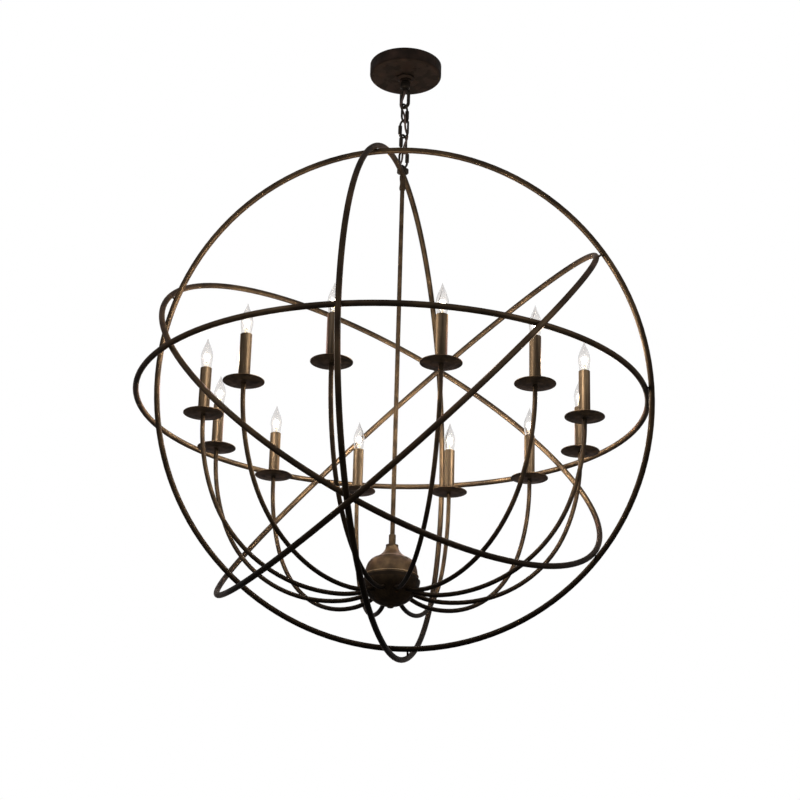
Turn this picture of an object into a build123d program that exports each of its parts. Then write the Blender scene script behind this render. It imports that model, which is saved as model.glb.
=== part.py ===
from build123d import *
import math
import os

os.makedirs("parts", exist_ok=True)

# Orb chandelier with a ring of candle lights, hung from a ceiling on a short chain.
# Millimetres. The origin is on the ceiling, on the stem axis. +Z is up, so all of it hangs below z = 0.
# X runs to the viewer's right and Y away from the viewer.

# Fits and clearances
THREAD_FIT = 0.05
SLIP_FIT = 0.1
HOLE_FIT = 0.2
BULB_FIT = 0.35
CHAIN_PLAY = 0.4
CORD_CLEAR = 1.2
CORD_BOW = 1.5

# Ceiling fitting
CANOPY_D = 184.0
CANOPY_H = 34.0
CANOPY_WALL = 1.2
CANOPY_ROUND = 7.0
BAR_LENGTH = 108.0
BAR_WIDTH = 18.0
BAR_THICK = 2.5
BAR_HOLE_SPACING = 88.9
BAR_HOLE_D = 4.8
GROUND_SCREW_D = 3.5
GROUND_SCREW_HEAD_D = 7.0
GROUND_SCREW_HEAD_H = 2.2
GROUND_SCREW_X = 24.0
NIPPLE_D = 9.6
NIPPLE_BORE = 7.0
NUT_ACROSS = 15.0
NUT_H = 4.0
COLLAR_D = 44.0
COLLAR_LIP_D = 30.0
COLLAR_H = 12.0

# Heavy loop under the canopy
LOOP_WIRE = 8.8
LOOP_PITCH_W = 22.0
LOOP_OUTER_H = 58.0
LOOP_NECK_D = 14.0
LOOP_WAIST_D = 19.0
LOOP_KNUCKLE_D = 25.0
LOOP_NECK_SHOWN = 22.0
LOOP_NECK_INSIDE = 8.0
LOOP_BORE = 8.0
NIPPLE_SCREWED_IN = 16.0

# Chain
LINK_COUNT = 4
LINK_WIRE = 5.6
LINK_OUTER_H = 56.0
LINK_PITCH_W = 24.0
LINK_SLEEVE_D = 10.0
LINK_SLEEVE_L = 24.0
LINK_SLEEVE_ROUND = 1.5
CHAIN_TURN = 56.0

# Supply cord
CORD_D = 5.2
CORD_CROSSING_R = 3.0
CORD_SET_IN = 4.5
CORD_FIRST_BEND = 4.0
CORD_TOP = 4.0

# Stem with its loop and neck
EYE_WIRE = 6.5
EYE_PITCH_W = 21.0
EYE_BASE_D = 29.5
EYE_BASE_H = 6.0
SADDLE = 2.0
SHANK_BELOW_HOOP = 20.0
SHANK_D = 9.6
NECK_D = 15.4
NECK_WAIST_D = 13.2
NECK_H = 40.0
STEM_D = 11.0
STEM_BORE = 7.0
STEM_IN_NECK = 16.0
STEM_LEAD_D = 4.6
LEAD_PAIR_D = 2.4

# Hoops. Each is shifted from the orb's centre and grown by a number of pitches (tube and gap),
# so that they pass over and under each other with room for the tube.
HOOP_RADIUS = 603.0
HOOP_TUBE = 14.0
HOOP_GAP = 0.8
FRONT_SHIFT = (0.6, -3.5, -1.3)
FRONT_GROWTH = -0.35
FRONT_TURN = -99.0
FRONT_RISE = -25.5
SIDE_GROWTH = 1.0
SIDE_TURN = -12.0
LEVEL_SHIFT = (-0.75, 1.2, -0.2)
LEVEL_GROWTH = 0.95
LEFT_SHIFT = (-1.7, 2.0, -2.0)
LEFT_GROWTH = -0.3
LEFT_TURN = -52.0
LEFT_RISE = 42.8
RIGHT_SHIFT = (1.5, 0.3, -3.5)
RIGHT_GROWTH = 0.3
RIGHT_TURN = -154.8
RIGHT_RISE = 40.8
PIN_D = 5.0
PIN_DEPTH = 5.0
PIN_REACH = 1.6

# Candle ring
CANDLE_COUNT = 12
RING_RADIUS = 464.0
RING_BELOW_CENTRE = 82.0
FIRST_CANDLE = 162.0
DISH_D = 95.0
DISH_FLAT_D = 44.0
DISH_RISE = 3.5
DISH_THICK = 1.2
SLEEVE_D = 27.0
SLEEVE_BORE = 23.6
SLEEVE_TOP = 118.0
POST_BORE = 4.2
POST_IN_ARM = 10.0
POST_IN_SOCKET = 12.0
SOCKET_H = 46.0
SOCKET_STEM_D = 11.0
SOCKET_BELOW_TOP = 10.5
CONTACT_PLATE = 3.0

# Bulbs
BASE_D = 11.8
BASE_H = 21.0
BASE_TIP_D = 6.0
BASE_TIP_H = 2.5
BASE_BELOW_TOP = 9.0
BASE_CUP_DEPTH = 2.5
GLASS_D = 28.6
GLASS_H = 79.0
GLASS_WALL = 0.7
GLASS_NECK_D = 10.4
GLASS_STEM_D = 5.6
GLASS_STEM_H = 26.0
FILAMENT_WIRE = 0.9
FILAMENT_W = 7.2
FILAMENT_H = 41.0

# Hub and arms
BOWL_RADIUS = 69.0
BOWL_WALL = 1.5
BOWL_BELOW_RING = 357.0
BOWL_RIM_DOWN = 10.0
CAP_WALL = 1.5
CAP_H = 89.0
CAP_TOP_D = 29.5
CAP_TOP_H = 5.0
CAP_SHOULDER_D = 77.0
CAP_SHOULDER_DOWN = 32.0
CAP_SIDE_D = 119.0
CAP_SIDE_DOWN = 56.0
CAP_RIM_D = 125.0
CAP_RIM_DOWN = 76.0
CAP_BEAD = 4.0
CAP_FLANGE_H = 2.0
HUB_COLLAR_D = 16.5
HUB_COLLAR_H = 26.0
HUB_COLLAR_CHAMFER = 1.4
CORE_LOW = 0.652
CORE_ROOM = 6.3
CORE_H = 36.0
CORE_FLOOR = 12.0
CORE_WELL_D = 42.0
STEM_IN_CORE = 9.0
SPLICE_D = 27.0
SPLICE_H = 18.0
SPLICE_SOCKET = 4.0
BOWL_SCREW_D = 6.0
BOWL_SCREW_HEAD_D = 16.0
BOWL_SCREW_HEAD_H = 4.0
BOWL_SCREW_GRIP = 8.0
BOWL_SPACER_D = 14.4
ARM_D = 10.8
ARM_BORE = 8.2
ARM_EXIT = 33.0
ARM_DIP = 19.5
ARM_DIP_RADIUS = 200.0
ARM_TURN = 67.5
ARM_SEAT = 13.0
ARM_END = 14.0
LAMP_LEAD_D = 3.4
LEAD_HOLE_D = 5.0


def drum(diameter, bottom, top, x=0.0, y=0.0):
    """Upright cylinder between two heights."""
    return Pos(x, y, (bottom + top) / 2) * Cylinder(diameter / 2, top - bottom)


def rod(start, end, diameter):
    """Straight round rod from one point to another."""
    run = end - start
    return extrude(Plane(origin=start, z_dir=run) * Circle(diameter / 2), amount=run.length)


def turned(points):
    """Body of revolution about Z from a closed outline of (radius, height) points."""
    outline = make_face(Polyline(*points, close=True))
    return revolve(Plane.XZ * outline, Axis.Z)


def hex_nut(bore, bottom, top):
    """Hexagon nut on the stem axis."""
    blank = extrude(Pos(0, 0, bottom) * RegularPolygon(NUT_ACROSS / 2, 6, major_radius=False), amount=top - bottom)
    return blank - drum(bore, bottom - 1, top + 1)


def oval_ring(pitch_w, top, bottom, wire):
    """Round-wire oval ring in the XZ plane; top and bottom are wire-centre heights."""
    bow = pitch_w / 2
    right = Line((bow, bottom + bow), (bow, top - bow))
    over = ThreePointArc((bow, top - bow), (0, top), (-bow, top - bow))
    left = Line((-bow, top - bow), (-bow, bottom + bow))
    under = ThreePointArc((-bow, bottom + bow), (0, bottom), (bow, bottom + bow))
    line = Plane.XZ * Wire([right, over, left, under])
    start = Plane(origin=(bow, 0, bottom + bow), z_dir=(0, 0, 1))
    return sweep(start * Circle(wire / 2), path=line)


def save(shape, node):
    export_step(shape, "parts/" + node + ".step")


def save_set(shapes, node):
    save(Compound(children=shapes), node)


# Heights down the axis, from the ceiling
canopy_floor = -CANOPY_H
collar_bottom = canopy_floor - COLLAR_H
loop_top = collar_bottom - LOOP_NECK_SHOWN
loop_top_wire = loop_top - LOOP_WIRE / 2
loop_bottom_wire = loop_top - LOOP_OUTER_H + LOOP_WIRE / 2
neck_top = canopy_floor + LOOP_NECK_INSIDE
nipple_bottom = neck_top - NIPPLE_SCREWED_IN

link_span = LINK_OUTER_H - LINK_WIRE
link_tops = []
link_bottoms = []
carrier = loop_bottom_wire
carrier_wire = LOOP_WIRE
for number in range(LINK_COUNT):
    top_wire = carrier + (carrier_wire + LINK_WIRE) / 2 + CHAIN_PLAY
    link_tops.append(top_wire)
    link_bottoms.append(top_wire - link_span)
    carrier = top_wire - link_span
    carrier_wire = LINK_WIRE
eye_top_wire = carrier + (LINK_WIRE + EYE_WIRE) / 2 + CHAIN_PLAY
eye_base_top = eye_top_wire - EYE_PITCH_W / 2
side_top = eye_base_top - EYE_BASE_H - HOOP_TUBE / 2

hoop_pitch = HOOP_TUBE + HOOP_GAP
side_radius = HOOP_RADIUS + SIDE_GROWTH * hoop_pitch
orb_centre = Vector(0, 0, side_top - side_radius)
ring_z = orb_centre.Z - RING_BELOW_CENTRE
sleeve_top = ring_z + SLEEVE_TOP
bowl_z = ring_z - BOWL_BELOW_RING
bowl_rim = bowl_z - BOWL_RIM_DOWN
cap_top = bowl_rim + CAP_H
# The core's foot is a share of the bowl's radius below its centre, with room to the bowl all round
core_below = CORE_LOW * BOWL_RADIUS
core_d = 2 * (math.sqrt((BOWL_RADIUS - BOWL_WALL) ** 2 - core_below ** 2) - CORE_ROOM)
core_bottom = bowl_z - core_below
core_top = core_bottom + CORE_H
core_floor = core_bottom + CORE_FLOOR

# Ceiling fitting: crossbar against the ceiling box, hollow nipple, lock nuts and ground screw
crossbar = Pos(0, 0, -BAR_THICK / 2) * Box(BAR_LENGTH, BAR_WIDTH, BAR_THICK)
crossbar -= drum(NIPPLE_D + 2 * THREAD_FIT, -BAR_THICK - 1, 1)
crossbar -= drum(BAR_HOLE_D, -BAR_THICK - 1, 1, x=BAR_HOLE_SPACING / 2)
crossbar -= drum(BAR_HOLE_D, -BAR_THICK - 1, 1, x=-BAR_HOLE_SPACING / 2)
crossbar -= drum(GROUND_SCREW_D + 2 * THREAD_FIT, -BAR_THICK - 1, 1, x=GROUND_SCREW_X)
save(crossbar, "mounting_crossbar")

ground_screw = drum(GROUND_SCREW_D, -BAR_THICK, 0, x=GROUND_SCREW_X)
ground_screw += drum(GROUND_SCREW_HEAD_D, -BAR_THICK - GROUND_SCREW_HEAD_H, -BAR_THICK, x=GROUND_SCREW_X)

nipple = drum(NIPPLE_D, nipple_bottom, 0) - drum(NIPPLE_BORE, nipple_bottom - 1, 1)
save(nipple, "canopy_nipple")

nut_bore = NIPPLE_D + 2 * THREAD_FIT
bar_nut = hex_nut(nut_bore, -BAR_THICK - NUT_H, -BAR_THICK)
jam_nut = hex_nut(nut_bore, neck_top, neck_top + NUT_H)
save_set([bar_nut, jam_nut, ground_screw], "fitting_hardware")

# Canopy: open drum with a rounded lower edge and a hole for the loop's neck
shell = drum(CANOPY_D, canopy_floor, 0)
shell = fillet(shell.edges().sort_by(Axis.Z)[0], CANOPY_ROUND)
hollow = drum(CANOPY_D - 2 * CANOPY_WALL, canopy_floor + CANOPY_WALL, CANOPY_WALL)
hollow = fillet(hollow.edges().sort_by(Axis.Z)[0], CANOPY_ROUND - CANOPY_WALL)
canopy = shell - hollow - drum(LOOP_NECK_D + 2 * HOLE_FIT, canopy_floor - 1, canopy_floor + CANOPY_WALL + 1)
save(canopy, "canopy")

lip_r = COLLAR_LIP_D / 2
collar = turned([
    (0, canopy_floor), (COLLAR_D / 2, canopy_floor), (COLLAR_D / 2, canopy_floor - COLLAR_H / 3),
    (lip_r, canopy_floor - 2 * COLLAR_H / 3), (lip_r, collar_bottom), (0, collar_bottom),
])
collar -= drum(LOOP_NECK_D + 2 * THREAD_FIT, collar_bottom - 1, canopy_floor + 1)
save(collar, "canopy_collar")

# The heavy loop lies across the first link; its neck takes the nipple and passes the cord
loop = oval_ring(LOOP_PITCH_W, loop_top_wire, loop_bottom_wire, LOOP_WIRE)
loop += drum(LOOP_NECK_D, loop_top_wire, neck_top)
loop_waist_r = LOOP_WAIST_D / 2
knuckle_r = LOOP_KNUCKLE_D / 2
knuckle_step = LOOP_NECK_SHOWN / 5
loop += turned([
    (0, collar_bottom), (loop_waist_r, collar_bottom), (loop_waist_r, collar_bottom - knuckle_step),
    (knuckle_r, collar_bottom - 1.5 * knuckle_step), (knuckle_r, loop_top + knuckle_step),
    (loop_waist_r, loop_top), (0, loop_top),
])
loop -= drum(LOOP_BORE, loop_top_wire - LOOP_WIRE, neck_top + 1)
loop -= drum(NIPPLE_D + 2 * THREAD_FIT, nipple_bottom, neck_top + 1)
save(Rot(Z=CHAIN_TURN - 90) * loop, "canopy_loop")

# Chain: each link is turned a quarter from the one above; the closing sleeve keeps clear of the cord
for number in range(LINK_COUNT):
    link = oval_ring(LINK_PITCH_W, link_tops[number], link_bottoms[number], LINK_WIRE)
    middle = (link_tops[number] + link_bottoms[number]) / 2
    side = LINK_PITCH_W / 2 if number % 4 in (0, 3) else -LINK_PITCH_W / 2
    sleeve = drum(LINK_SLEEVE_D, middle - LINK_SLEEVE_L / 2, middle + LINK_SLEEVE_L / 2, x=side)
    sleeve = fillet(sleeve.edges().filter_by(GeomType.CIRCLE), LINK_SLEEVE_ROUND)
    turn = CHAIN_TURN if number % 2 == 0 else CHAIN_TURN - 90
    save(Rot(Z=turn) * (link + sleeve), "chain_link_" + str(number + 1))

# Supply cord: down the nipple, then in and out of the links, and into the foot of the stem's loop.
# Its points are along the first link's plane (first number), the second link's plane and the axis.
# It goes through each link on the side away from the closing sleeve.
beside_link = (LINK_WIRE + CORD_D) / 2 + CORD_CLEAR + CORD_BOW
beside_loop = (LOOP_WIRE + CORD_D) / 2 + CORD_CLEAR + CORD_BOW
beside_eye = (EYE_WIRE + CORD_D) / 2 + CORD_CLEAR
beside_last = (LINK_WIRE + CORD_D) / 2 + CORD_CLEAR
mouth = loop_top_wire - LOOP_WIRE / 2
meets = [(loop_bottom_wire + link_tops[0]) / 2]
for number in range(1, LINK_COUNT):
    meets.append((link_bottoms[number - 1] + link_tops[number]) / 2)
middles = [(link_tops[number] + link_bottoms[number]) / 2 for number in range(LINK_COUNT)]
cord_end = eye_base_top - CORD_SET_IN
weave = [
    (0, 0, -CORD_TOP),
    (0, 0, mouth - CORD_FIRST_BEND),
    (-beside_loop, -beside_link, meets[0]),
    (-CORD_CROSSING_R, 0, middles[0]),
    (-beside_link, beside_link, meets[1]),
    (0, CORD_CROSSING_R, middles[1]),
    (beside_link, beside_link, meets[2]),
    (CORD_CROSSING_R, 0, middles[2]),
    (beside_link, -beside_link, meets[3]),
    (0, -CORD_CROSSING_R, middles[3]),
    (-beside_last, -beside_eye, (link_bottoms[-1] + eye_top_wire) / 2),
    (-beside_last, -beside_eye, cord_end),
]
chain_frame = Rot(Z=CHAIN_TURN)
cord_points = [(chain_frame * Pos(a, -b, z)).position for a, b, z in weave]
cord_radii = []
for before, here, after in zip(cord_points, cord_points[1:], cord_points[2:]):
    first = here - before
    second = after - here
    turn = math.radians(first.get_angle(second))
    cord_radii.append(0.45 * min(first.length, second.length) / math.tan(turn / 2))
cord_line = FilletPolyline(*cord_points, radius=cord_radii)
# One stretch of cord bends at each hinge of the chain; they meet half way along a straight run
joins = [2 * number + 2 for number in range(LINK_COUNT)]
cord_volume = 0.0
for number in range(LINK_COUNT + 1):
    first = joins[number - 1] if number > 0 else 0
    last = joins[number] if number < LINK_COUNT else len(cord_points) - 1
    points = cord_points[first:last + 1]
    if number > 0:
        points[0] = (cord_points[first] + cord_points[first + 1]) / 2
    if number < LINK_COUNT:
        points.append((cord_points[last] + cord_points[last + 1]) / 2)
    line = FilletPolyline(*points, radius=cord_radii[first:first + len(points) - 2])
    start = Plane(origin=line @ 0, z_dir=line % 0)
    stretch = sweep(start * Circle(CORD_D / 2), path=line)
    cord_volume += stretch.volume
    save(stretch, "supply_cord_" + str(number + 1))
print("cord length", round(cord_line.length, 1), "radii", [round(r, 1) for r in cord_radii])
print("cord volume", round(cord_volume, 1), "section times length",
      round(math.pi * CORD_D ** 2 / 4 * cord_line.length, 1))
print("cord points", [tuple(round(v, 2) for v in p) for p in cord_points])

# Hoops as (centre, normal, radius)


def direction(turn, rise):
    a = math.radians(turn)
    e = math.radians(rise)
    return Vector(math.cos(e) * math.cos(a), math.cos(e) * math.sin(a), math.sin(e))


def hoop_at(shift, growth, normal):
    return orb_centre + Vector(*shift) * hoop_pitch, normal, HOOP_RADIUS + growth * hoop_pitch


hoops = {
    "front_hoop": hoop_at(FRONT_SHIFT, FRONT_GROWTH, direction(FRONT_TURN, FRONT_RISE)),
    "side_hoop": hoop_at((0, 0, 0), SIDE_GROWTH, direction(SIDE_TURN, 0)),
    "level_hoop": hoop_at(LEVEL_SHIFT, LEVEL_GROWTH, Vector(0, 0, 1)),
    "left_slanted_hoop": hoop_at(LEFT_SHIFT, LEFT_GROWTH, direction(LEFT_TURN, LEFT_RISE)),
    "right_slanted_hoop": hoop_at(RIGHT_SHIFT, RIGHT_GROWTH, direction(RIGHT_TURN, RIGHT_RISE)),
}


def hoop_bar(hoop):
    """Round bar bent to a full hoop, in four quarter turns."""
    centre, normal, radius = hoop
    half = radius * math.sqrt(0.5)
    corners = [(half, half), (-half, half), (-half, -half), (half, -half)]
    tops = [(0, radius), (-radius, 0), (0, -radius), (radius, 0)]
    quarters = [ThreePointArc(corners[n], tops[n], corners[(n + 1) % 4]) for n in range(4)]
    line = Plane(origin=centre, z_dir=normal) * Wire(quarters)
    start = Plane(origin=line @ 0, z_dir=line % 0)
    return sweep(start * Circle(HOOP_TUBE / 2), path=line, clean=False).solid()


def nearest(hoop, point):
    """Point of a hoop's centre line nearest to a given point."""
    centre, normal, radius = hoop
    out = point - centre
    out = out - normal * out.dot(normal)
    return centre + out.normalized() * radius


def crossing(one, other, side):
    """Closest points of two hoops on one side of the orb."""
    here = orb_centre + one[1].cross(other[1]).normalized() * (side * HOOP_RADIUS)
    for _ in range(80):
        there = nearest(other, here)
        here = nearest(one, there)
    return here, there


# Where two hoops pass close by, a pin joins them, set in a drilled hole in each
drills = {name: [] for name in hoops}
pins = []
names = list(hoops)
set_back = HOOP_TUBE / 2 - PIN_DEPTH
for index, one in enumerate(names):
    for other in names[index + 1:]:
        for side in (1, -1):
            here, there = crossing(hoops[one], hoops[other], side)
            run = there - here
            if run.length < PIN_REACH * HOOP_TUBE:
                way = run.normalized()
                start = here + way * set_back
                end = there - way * set_back
                pins.append(rod(start, end, PIN_D))
                drill = rod(start, end, PIN_D + 2 * SLIP_FIT)
                drills[one].append(drill)
                drills[other].append(drill)
print("hoop pins", len(pins))
save_set(pins, "hoop_pins")

# The side hoop is clamped between the stem's loop and its neck, with the hollow shank through it
drills["side_hoop"].append(drum(SHANK_D + 2 * SLIP_FIT, side_top - HOOP_TUBE, side_top + HOOP_TUBE))
entry = cord_points[-1]
pair_end = Vector(0, 0, side_top)
drills["side_hoop"].append(rod(entry, pair_end, LEAD_PAIR_D + 2 * SLIP_FIT))
for name in names:
    save(hoop_bar(hoops[name]).cut(*drills[name]), name)

# Stem loop: an arch on a round foot, with a hollow shank below
side_way = direction(SIDE_TURN + 90, 0) * (2 * EYE_BASE_D)
side_middle = Vector(0, 0, side_top)
side_cut = rod(side_middle - side_way, side_middle + side_way, HOOP_TUBE + 2 * THREAD_FIT)
foot_bottom = eye_base_top - EYE_BASE_H - SADDLE
bow = EYE_PITCH_W / 2
arch_line = Plane.XZ * Wire([
    Line((bow, eye_base_top - EYE_BASE_H / 2), (bow, eye_base_top)),
    ThreePointArc((bow, eye_base_top), (0, eye_top_wire), (-bow, eye_base_top)),
    Line((-bow, eye_base_top), (-bow, eye_base_top - EYE_BASE_H / 2)),
])
arch_start = Plane(origin=(bow, 0, eye_base_top - EYE_BASE_H / 2), z_dir=(0, 0, 1))
eye = chain_frame * sweep(arch_start * Circle(EYE_WIRE / 2), path=arch_line)
eye += drum(EYE_BASE_D, foot_bottom, eye_base_top) - side_cut
shank_bottom = side_top - SHANK_BELOW_HOOP
eye += drum(SHANK_D, shank_bottom, eye_base_top - EYE_BASE_H / 2)
shank_top = eye_base_top - EYE_BASE_H / 2
eye -= drum(STEM_BORE, shank_bottom - 1, shank_top)
entry_mouth = Vector(entry.X, entry.Y, eye_base_top + 1)
eye -= rod(entry, entry_mouth, CORD_D + 2 * SLIP_FIT)
eye -= rod(entry, pair_end, LEAD_PAIR_D + 2 * SLIP_FIT)
save(eye, "stem_loop")

# Neck: a turned coupling under the side hoop
neck_bottom = side_top - HOOP_TUBE / 2 - NECK_H + SADDLE
neck_up = side_top - HOOP_TUBE / 2 + SADDLE
neck_r = NECK_D / 2
waist_r = NECK_WAIST_D / 2
step = NECK_H / 5
neck = turned([
    (0, neck_bottom), (waist_r, neck_bottom), (neck_r, neck_bottom + step / 2), (neck_r, neck_bottom + step),
    (waist_r, neck_bottom + 2 * step), (waist_r, neck_bottom + 3 * step), (neck_r, neck_bottom + 4 * step),
    (neck_r, neck_up), (0, neck_up),
])
neck -= side_cut
stem_top = neck_bottom + STEM_IN_NECK
neck -= drum(STEM_D + 2 * THREAD_FIT, neck_bottom - 1, stem_top)
neck -= drum(SHANK_D + 2 * THREAD_FIT, stem_top, neck_up + 1)
save(neck, "stem_neck")

# Stem tube from the neck down into the hub core, with a window for the leads
stem_bottom = core_floor - STEM_IN_CORE
window_z = core_floor + SPLICE_H / 2
stem = drum(STEM_D, stem_bottom, stem_top) - drum(STEM_BORE, stem_bottom - 1, stem_top + 1)
window_in = Vector(0, 0, window_z)
first_arm = direction(FIRST_CANDLE + 180 / CANDLE_COUNT, 0)
window_out = window_in + first_arm * (STEM_D / 2 + SPLICE_SOCKET)
stem -= rod(window_in, window_out, LEAD_PAIR_D + 2 * SLIP_FIT)
save(stem, "stem_tube")

# Lead in the stem: a pair from the cord's end, the round lead, and a pair out to the splice
stem_lead = drum(STEM_LEAD_D, window_z - LEAD_PAIR_D / 2, side_top)
stem_lead += rod(entry, pair_end, LEAD_PAIR_D)
stem_lead -= rod(entry, entry_mouth, CORD_D + 2 * SLIP_FIT)
stem_lead += rod(window_in, window_out, LEAD_PAIR_D)
save(stem_lead, "stem_lead")

# Hub: collar, cap, bowl, core, splice and screw
collar_up = cap_top + HUB_COLLAR_H
hub_collar = drum(HUB_COLLAR_D, cap_top, collar_up)
hub_collar = chamfer(hub_collar.edges().sort_by(Axis.Z)[-1], HUB_COLLAR_CHAMFER)
hub_collar -= drum(STEM_D + 2 * THREAD_FIT, cap_top - 1, collar_up + 1)
save(hub_collar, "hub_collar")

top_r = CAP_TOP_D / 2
shoulder_r = CAP_SHOULDER_D / 2
side_r = CAP_SIDE_D / 2
rim_r = CAP_RIM_D / 2
flange_r = BOWL_RADIUS - BOWL_WALL / 2
shoulder_z = cap_top - CAP_SHOULDER_DOWN
side_z = cap_top - CAP_SIDE_DOWN
rim_z = cap_top - CAP_RIM_DOWN
neck_z = cap_top - CAP_TOP_H


def cap_outline(inset):
    """Outline of the cap: stepped top, hollow flare, round shoulder and rim."""
    side_line = [
        Line((0, cap_top - inset), (top_r - inset, cap_top - inset)),
        Line((top_r - inset, cap_top - inset), (top_r - inset, neck_z)),
        Spline((top_r - inset, neck_z), (shoulder_r - inset, shoulder_z),
               tangents=[(0.2, -1), (1, -0.55)]),
        Spline((shoulder_r - inset, shoulder_z), (side_r - inset, side_z), (rim_r - inset, rim_z),
               tangents=[(1, -0.35), (0.1, -1)]),
        Line((rim_r - inset, rim_z), (rim_r - inset, bowl_rim)),
        Line((rim_r - inset, bowl_rim), (0, bowl_rim)),
        Line((0, bowl_rim), (0, cap_top - inset)),
    ]
    return revolve(Plane.XZ * make_face(side_line), Axis.Z)


cap = cap_outline(0)
cap += Pos(0, 0, rim_z) * Torus(rim_r, CAP_BEAD / 2)
cap += drum(2 * flange_r, bowl_rim, bowl_rim + CAP_FLANGE_H)
cap -= cap_outline(CAP_WALL)
cap -= drum(STEM_D + 2 * SLIP_FIT, bowl_rim - 1, cap_top + 1)
save(cap, "hub_cap")

# Arms: out of the core through the bowl, a dip, and two arcs up to the drip dish
exit_angle = math.radians(ARM_EXIT)
dip = math.radians(ARM_DIP)
turn = math.radians(ARM_TURN)
exit_r = BOWL_RADIUS * math.cos(exit_angle)
exit_z = bowl_z - BOWL_RADIUS * math.sin(exit_angle)
low_r = exit_r + ARM_DIP_RADIUS * math.sin(dip)
low_z = exit_z - ARM_DIP_RADIUS * (1 - math.cos(dip))
# The two arcs end upright under the drip dish: two equations for their radii
reach = RING_RADIUS - low_r
arm_turned = ring_z - ARM_END
climb = arm_turned - low_z
det = math.sin(turn) * math.cos(turn) - (1 - math.sin(turn)) * (1 - math.cos(turn))
arm_low_radius = (reach * math.cos(turn) - (1 - math.sin(turn)) * climb) / det
arm_high_radius = (math.sin(turn) * climb - (1 - math.cos(turn)) * reach) / det
print("arm radii", round(arm_low_radius, 1), round(arm_high_radius, 1), "lowest", round(low_r, 1), round(low_z, 1))


def inward(radius):
    """Point on the straight inner end of an arm at a given distance from the axis."""
    return radius, exit_z + (exit_r - radius) * math.tan(dip)


seat_r = core_d / 2 - ARM_SEAT
splice_r = SPLICE_D / 2 - SPLICE_SOCKET


def arm_route(inner_r, end_z):
    straight = Line(inward(inner_r), (exit_r, exit_z))
    low = JernArc(straight @ 1, straight % 1, ARM_DIP_RADIUS, ARM_DIP)
    middle = JernArc(low @ 1, (1, 0), arm_low_radius, ARM_TURN)
    high = JernArc(middle @ 1, middle % 1, arm_high_radius, 90 - ARM_TURN)
    upright = Line((RING_RADIUS, arm_turned), (RING_RADIUS, end_z))
    return Plane.XZ * Wire([straight, low, middle, high, upright])


def along(route, diameter):
    start = Plane(origin=route @ 0, z_dir=route % 0)
    return sweep(start * Circle(diameter / 2), path=route)


def around(shape):
    """One copy for each candle, about the stem axis."""
    return [Rot(Z=FIRST_CANDLE + 360 / CANDLE_COUNT * n) * shape for n in range(CANDLE_COUNT)]


tube_route = arm_route(seat_r, ring_z)
arm = along(tube_route, ARM_D) - along(tube_route, ARM_BORE)
save_set(around(arm), "candle_arms")


def slanted(inner_r, outer_r, diameter):
    """Rod along the straight inner end of an arm."""
    ir, iz = inward(inner_r)
    outer, oz = inward(outer_r)
    return rod(Vector(ir, 0, iz), Vector(outer, 0, oz), diameter)


core = drum(core_d, core_bottom, core_top)
core -= drum(CORE_WELL_D, core_floor, core_top + 1)
core -= drum(STEM_D + 2 * THREAD_FIT, stem_bottom, core_floor + 1)
core -= drum(BOWL_SCREW_D + 2 * THREAD_FIT, core_bottom - 1, core_bottom + BOWL_SCREW_GRIP)
for hole in around(slanted(seat_r, core_d, ARM_D + 2 * SLIP_FIT)):
    core -= hole
for hole in around(slanted(splice_r, core_d / 2, LEAD_HOLE_D)):
    core -= hole
save(core, "hub_core")

splice = drum(SPLICE_D, core_floor, core_floor + SPLICE_H)
splice -= drum(STEM_D + 2 * SLIP_FIT, core_floor - 1, core_floor + SPLICE_H + 1)
for hole in around(slanted(splice_r, core_d / 2, LAMP_LEAD_D + 2 * SLIP_FIT)):
    splice -= hole
splice -= rod(window_in, window_out, LEAD_PAIR_D + 2 * SLIP_FIT)
save(splice, "hub_splice")

bowl = Pos(0, 0, bowl_z) * Sphere(BOWL_RADIUS)
bowl -= Pos(0, 0, bowl_z) * Sphere(BOWL_RADIUS - BOWL_WALL)
bowl -= drum(3 * BOWL_RADIUS, bowl_rim, bowl_z + 2 * BOWL_RADIUS)
bowl_bottom = bowl_z - BOWL_RADIUS
inside_pole = bowl_z - math.sqrt((BOWL_RADIUS - BOWL_WALL) ** 2 - (BOWL_SPACER_D / 2) ** 2)
outside_pole = bowl_z - math.sqrt(BOWL_RADIUS ** 2 - (BOWL_SCREW_HEAD_D / 2) ** 2)
bowl += drum(BOWL_SPACER_D, inside_pole - BOWL_WALL / 2, core_bottom)
bowl -= drum(BOWL_SCREW_D + 2 * HOLE_FIT, bowl_bottom - 1, core_bottom + 1)
bowl -= drum(BOWL_SCREW_HEAD_D + 2 * HOLE_FIT, bowl_bottom - 1, outside_pole)
for hole in around(slanted(core_d / 2, 2 * BOWL_RADIUS - exit_r, ARM_D + 2 * HOLE_FIT)):
    bowl -= hole
save(bowl, "hub_bowl")

screw = drum(BOWL_SCREW_D, outside_pole - BOWL_SCREW_HEAD_H / 2, core_bottom + BOWL_SCREW_GRIP)
head = drum(BOWL_SCREW_HEAD_D, outside_pole - BOWL_SCREW_HEAD_H, outside_pole)
head = fillet(head.edges().sort_by(Axis.Z)[0], BOWL_SCREW_HEAD_H / 2)
bowl_screw = screw + head

# Candles: drip dish, threaded post, socket, lead and sleeve
dish_r = DISH_D / 2
flat_r = DISH_FLAT_D / 2
post_d = ARM_BORE - 2 * SLIP_FIT
dish = turned([
    (post_d / 2 + SLIP_FIT, ring_z), (flat_r, ring_z), (dish_r, ring_z + DISH_RISE),
    (dish_r, ring_z + DISH_RISE + DISH_THICK), (flat_r, ring_z + DISH_THICK),
    (post_d / 2 + SLIP_FIT, ring_z + DISH_THICK),
])
save_set(around(Pos(RING_RADIUS, 0, 0) * dish), "bobeches")

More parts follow.
